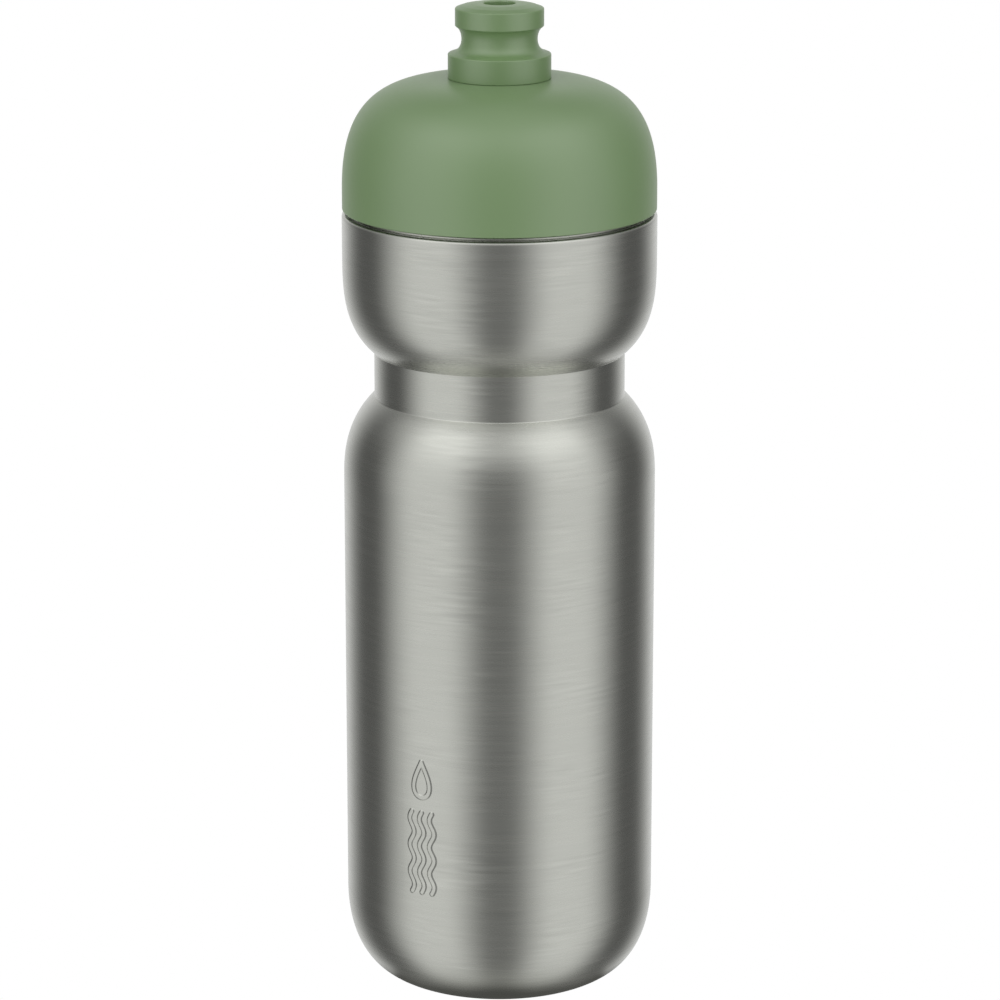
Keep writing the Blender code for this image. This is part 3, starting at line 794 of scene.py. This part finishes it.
# two tall softboxes in front, left and right, black flags beside them, and a
# white sweep behind
SOFTBOXES = [
    (0.0, 0.245), (0.03, 0.25), (0.235, 1.04), (0.36, 1.04),
    (0.595, 0.145), (0.665, 0.145), (0.895, 0.84), (1.0, 1.0),
]
# overhead the softboxes lean in and meet above the bottle
OVERHEAD = [
    (0.0, 0.98), (0.26, 1.68), (0.36, 1.68), (0.56, 0.95),
    (0.70, 0.44), (0.85, 0.13), (1.0, 0.21),
]


def floor_material():
    """Distances from the axis are in metres."""
    mat, n = new_material("studio_floor")
    spot = n.place()
    reach = n.new("VectorMath", {0: spot}, operation="LENGTH").outputs["Value"]
    # a thin shade where the foot meets the floor
    near = n.spread(reach, span=(0.0225, 0.0255), to=(0.25, 1.0), kind="SMOOTHSTEP")
    glow = n.out("Emission", {"Color": WHITE, "Strength": near})
    # the rounded foot mostly sees its own shadow, which reaches furthest straight
    # in front and at the sides
    x, y, _ = n.new("SeparateXYZ", {0: spot}).outputs
    wide = n.centred(n.ramp(n.from_front(x, y), FOOT_SHADOW), by=0.01)
    edge = n.math("ADD", reach, wide)
    clear = n.spread(edge, span=(0.030, 0.038), to=(0.0, 1.0), kind="SMOOTHSTEP")
    dark = n.out("Emission", {"Color": (0.115, 0.115, 0.108, 1.0), "Strength": 1.0})
    through = n.out("BsdfTransparent")
    unseen = n.out("MixShader", {0: clear, 1: dark, 2: through})
    direct = n.ray("Is Camera Ray")
    both = n.out("MixShader", {0: direct, 1: unseen, 2: glow})
    # seen from below, the floor is left out, so the foot can be looked at
    under = n.math("MULTIPLY", n.new("NewGeometry").outputs["Backfacing"], direct)
    n.new("OutputMaterial", {"Surface": n.out("MixShader", {0: under, 1: both, 2: through})})
    return mat


def add_floor():
    bm = bmesh.new()
    bmesh.ops.create_circle(bm, cap_ends=True, segments=96, radius=6.0)
    floor = add_bmesh("floor", bm)
    floor.data.materials.append(floor_material())


def add_world():
    """The surrounding light, with plain white for the camera."""
    world = bpy.data.worlds.new("studio")
    bpy.context.scene.world = world
    world.use_nodes = True
    n = Nodes(world.node_tree)
    way = n.new("TexCoord").outputs["Generated"]
    x, y, z = n.new("SeparateXYZ", {0: way}).outputs
    azimuth = n.from_front(x, y)
    # -1 straight down, 0 level, 1 straight up
    height = n.math("DIVIDE", n.math("ARCSINE", z), math.pi / 2)
    band = n.ramp(azimuth, SOFTBOXES)
    lean = n.ramp(azimuth, OVERHEAD)
    up = n.spread(height, span=(0.06, 0.66), to=(0.0, 1.0), kind="SMOOTHSTEP")
    zenith = n.spread(height, span=(0.53, 0.86), to=(0.0, 1.0), kind="SMOOTHSTEP")
    ground = n.spread(height, span=(-0.48, -0.90), to=(0.0, 1.0), kind="SMOOTHSTEP")
    light = n.blend(up, band, lean)
    light = n.blend(zenith, light, (0.60, 0.60, 0.60, 1.0))
    light = n.blend(ground, light, (0.50, 0.50, 0.48, 1.0))
    studio = n.out("Background", {"Color": light, "Strength": 1.0})
    plain = n.out("Background", {"Color": WHITE, "Strength": 1.0})
    both = n.out("MixShader", {0: n.ray("Is Camera Ray"), 1: studio, 2: plain})
    n.new("OutputWorld", {"Surface": both})


def add_camera():
    """Looks down a little from the -Y side, one metre from its aim."""
    tilt, aim, distance = math.radians(14.96), Vector((0.0, 0.0, 0.118)), 1.0
    camera = bpy.data.cameras.new("camera")
    camera.lens = 150.0
    camera.shift_x = 0.00045
    camera.sensor_width = 36.0
    camera.clip_start = 0.05
    camera.clip_end = 20.0
    obj = add_object("camera", camera)
    back = Vector((0.0, -math.cos(tilt), math.sin(tilt)))
    obj.location = aim + back * distance
    obj.rotation_mode = "QUATERNION"
    obj.rotation_quaternion = (-back).to_track_quat("-Z", "Y")
    bpy.context.scene.camera = obj


# ------------------------------------------------------------------ build
brushed = steel("brushed_steel", (0.475, 0.482, 0.446), rough=0.27, aniso=0.65)
pressed = steel("pressed_steel", (0.50, 0.505, 0.48), rough=0.26, aniso=0.4, streaks=0.4)
rolled = steel("rolled_steel", (0.49, 0.495, 0.465), rough=0.24, aniso=0.5, streaks=0.4)
green = plastic(
    "sage_cap", (0.172, 0.281, 0.115),
    rough=0.42, grain=0.055, mottle=0.018, ior=1.58, sheen=0.05, gloss=1.0,
)
green_soft = plastic(
    "sage_spout", (0.174, 0.284, 0.116), rough=0.40, grain=0.05, mottle=0.02, ior=1.58, gloss=1.0
)
liner = plastic("sage_liner", (0.145, 0.22, 0.11), rough=0.52, grain=0.08)
post = plastic("sage_post", (0.15, 0.225, 0.115), rough=0.45, grain=0.06)
plug = plastic("plug_silicone", (0.105, 0.16, 0.078), rough=0.55, grain=0.04, ior=1.41, soft=0.1)
clear = plastic("clear_silicone", (0.62, 0.63, 0.59), rough=0.42, grain=0.03, ior=1.41, soft=0.35)
grey = plastic("grey_rubber", (0.075, 0.08, 0.07), rough=0.5, grain=0.03, mottle=0.05)

# (piece, material, body it rides, slot, CAD node it replaces)
PIECES = [
    (bottle_body, brushed, "bottle", "body_steel", "bottle_shell"),
    (base_pan, pressed, "bottle", "base_steel", "base_disc"),
    (threaded_neck, rolled, "bottle", "neck_steel", "neck_ring"),
    (dome_cap, green, "cap", "cap_green", "cap_dome"),
    (cap_liner, liner, "cap", "liner_green", "cap_insert"),
    (rim_gasket, clear, "cap_seal", "gasket_silicone", "cap_gasket"),
    (drink_valve_post, post, "cap", "post_green", "valve_post"),
    (post_plug, plug, "cap", "plug_silicone", "plug_seal"),
    (air_valve, clear, "cap", "vent_silicone", "vent_valve"),
    (drink_spout, green_soft, "spout", "spout_green", "spout"),
    (sleeve_seal, grey, "spout_seal", "o_ring_rubber", "spout_o_ring"),
]
for build, material, body, slot, node in PIECES:
    piece = build()
    piece.data.materials.clear()
    piece.data.materials.append(material)
    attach(piece, body)
    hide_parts(node)

add_floor()
add_world()
add_camera()

view = bpy.context.scene.view_settings
view.view_transform = "Standard"
view.look = "None"
view.exposure = 0.0
view.gamma = 1.0
